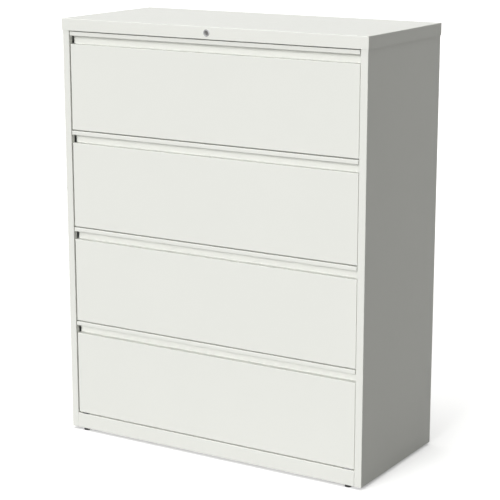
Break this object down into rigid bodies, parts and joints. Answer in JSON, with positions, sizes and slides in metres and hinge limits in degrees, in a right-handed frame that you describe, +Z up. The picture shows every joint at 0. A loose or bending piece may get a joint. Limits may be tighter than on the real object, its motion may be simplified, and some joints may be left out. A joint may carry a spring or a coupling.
{
  "type": "lateral filing cabinet",
  "caption": "Wide steel lateral filing cabinet: full-width drawers on telescopic slides, recessed finger pulls, hanging-folder rails, a key lock in the top cap and screw feet.",
  "frame": {"origin": "on the floor, under the middle of the case", "axes": "+Z up, +X to the right as seen from the front, the drawers face -Y"},
  "size_m": [1.0668, 0.4748, 1.3335],
  "materials": {
    "white_paint": "white powder coat, fine satin texture",
    "zinc_steel": "zinc-plated rolled steel",
    "lock_chrome": "satin chrome",
    "foot_nylon": "black moulded nylon",
    "weight_iron": "rough black cast iron"
  },
  "bodies": {
    "case": {"left_side_panel": "white_paint", "right_side_panel": "white_paint", "back_panel": "white_paint", "top_cap": "white_paint", "header_rail": "white_paint", "kick_plate": "white_paint", "rear_base_rail": "white_paint", "counterweight": "weight_iron", "left_front_upright": "zinc_steel", "left_rear_upright": "zinc_steel", "right_front_upright": "zinc_steel", "right_rear_upright": "zinc_steel", "drawer_1_left_cabinet_channel": "zinc_steel", "drawer_1_right_cabinet_channel": "zinc_steel", "drawer_2_left_cabinet_channel": "zinc_steel", "drawer_2_right_cabinet_channel": "zinc_steel", "drawer_3_left_cabinet_channel": "zinc_steel", "drawer_3_right_cabinet_channel": "zinc_steel", "drawer_4_left_cabinet_channel": "zinc_steel", "drawer_4_right_cabinet_channel": "zinc_steel", "lock_housing": "lock_chrome", "lock_nut": "zinc_steel"},
    "drawer_1": {"drawer_1_front": "white_paint", "drawer_1_tub": "white_paint", "drawer_1_left_drawer_channel": "zinc_steel", "drawer_1_right_drawer_channel": "zinc_steel", "drawer_1_hang_rail": "zinc_steel"},
    "drawer_1_middle_slides": {"drawer_1_left_middle_channel": "zinc_steel", "drawer_1_right_middle_channel": "zinc_steel"},
    "drawer_2": {"drawer_2_front": "white_paint", "drawer_2_tub": "white_paint", "drawer_2_left_drawer_channel": "zinc_steel", "drawer_2_right_drawer_channel": "zinc_steel", "drawer_2_hang_rail": "zinc_steel"},
    "drawer_2_middle_slides": {"drawer_2_left_middle_channel": "zinc_steel", "drawer_2_right_middle_channel": "zinc_steel"},
    "drawer_3": {"drawer_3_front": "white_paint", "drawer_3_tub": "white_paint", "drawer_3_left_drawer_channel": "zinc_steel", "drawer_3_right_drawer_channel": "zinc_steel", "drawer_3_hang_rail": "zinc_steel"},
    "drawer_3_middle_slides": {"drawer_3_left_middle_channel": "zinc_steel", "drawer_3_right_middle_channel": "zinc_steel"},
    "drawer_4": {"drawer_4_front": "white_paint", "drawer_4_tub": "white_paint", "drawer_4_left_drawer_channel": "zinc_steel", "drawer_4_right_drawer_channel": "zinc_steel", "drawer_4_hang_rail": "zinc_steel"},
    "drawer_4_middle_slides": {"drawer_4_left_middle_channel": "zinc_steel", "drawer_4_right_middle_channel": "zinc_steel"},
    "lock_core": {"lock_plug": "lock_chrome", "lock_cam": "zinc_steel"},
    "lock_crossbar": {"lock_bar": "zinc_steel"},
    "lock_catch_rod": {"lock_rod": "zinc_steel"},
    "left_front_foot_screw": {"left_front_foot": "foot_nylon"},
    "left_rear_foot_screw": {"left_rear_foot": "foot_nylon"},
    "right_front_foot_screw": {"right_front_foot": "foot_nylon"},
    "right_rear_foot_screw": {"right_rear_foot": "foot_nylon"}
  },
  "joints": [
    {"name": "drawer_1_pull_out", "type": "slide", "parent": "case", "child": "drawer_1", "axis": [0, -1, 0], "range_m": [0, 0.406]},
    {"name": "drawer_1_slides_extend", "type": "slide", "parent": "case", "child": "drawer_1_middle_slides", "axis": [0, -1, 0], "range_m": [0, 0.203]},
    {"name": "drawer_2_pull_out", "type": "slide", "parent": "case", "child": "drawer_2", "axis": [0, -1, 0], "range_m": [0, 0.406]},
    {"name": "drawer_2_slides_extend", "type": "slide", "parent": "case", "child": "drawer_2_middle_slides", "axis": [0, -1, 0], "range_m": [0, 0.203]},
    {"name": "drawer_3_pull_out", "type": "slide", "parent": "case", "child": "drawer_3", "axis": [0, -1, 0], "range_m": [0, 0.406]},
    {"name": "drawer_3_slides_extend", "type": "slide", "parent": "case", "child": "drawer_3_middle_slides", "axis": [0, -1, 0], "range_m": [0, 0.203]},
    {"name": "drawer_4_pull_out", "type": "slide", "parent": "case", "child": "drawer_4", "axis": [0, -1, 0], "range_m": [0, 0.406]},
    {"name": "drawer_4_slides_extend", "type": "slide", "parent": "case", "child": "drawer_4_middle_slides", "axis": [0, -1, 0], "range_m": [0, 0.203]},
    {"name": "key_turn", "type": "hinge", "parent": "case", "child": "lock_core", "pos_m": [0, -0.2365, 1.315], "axis": [0, 1, 0], "range_deg": [0, 90]},
    {"name": "crossbar_shift", "type": "slide", "parent": "case", "child": "lock_crossbar", "axis": [1, 0, 0], "range_m": [0, 0.0101]},
    {"name": "catch_rod_lift", "type": "slide", "parent": "case", "child": "lock_catch_rod", "axis": [0, 0, 1], "range_m": [0, 0.01]},
    {"name": "left_front_foot_turn", "type": "hinge", "parent": "case", "child": "left_front_foot_screw", "pos_m": [-0.4817, -0.2213, 0], "axis": [0, 0, 1], "continuous": true},
    {"name": "left_rear_foot_turn", "type": "hinge", "parent": "case", "child": "left_rear_foot_screw", "pos_m": [-0.4817, 0.2129, 0], "axis": [0, 0, 1], "continuous": true},
    {"name": "right_front_foot_turn", "type": "hinge", "parent": "case", "child": "right_front_foot_screw", "pos_m": [0.4817, -0.2213, 0], "axis": [0, 0, 1], "continuous": true},
    {"name": "right_rear_foot_turn", "type": "hinge", "parent": "case", "child": "right_rear_foot_screw", "pos_m": [0.4817, 0.2129, 0], "axis": [0, 0, 1], "continuous": true}
  ],
  "couplings": [
    {"joint": "drawer_1_slides_extend", "follows": "drawer_1_pull_out", "ratio": 0.5},
    {"joint": "drawer_2_slides_extend", "follows": "drawer_2_pull_out", "ratio": 0.5},
    {"joint": "drawer_3_slides_extend", "follows": "drawer_3_pull_out", "ratio": 0.5},
    {"joint": "drawer_4_slides_extend", "follows": "drawer_4_pull_out", "ratio": 0.5},
    {"joint": "crossbar_shift", "follows": "catch_rod_lift", "ratio": 1},
    {"joint": "key_turn", "follows": "catch_rod_lift", "rad_per_m": 157.07}
  ]
}
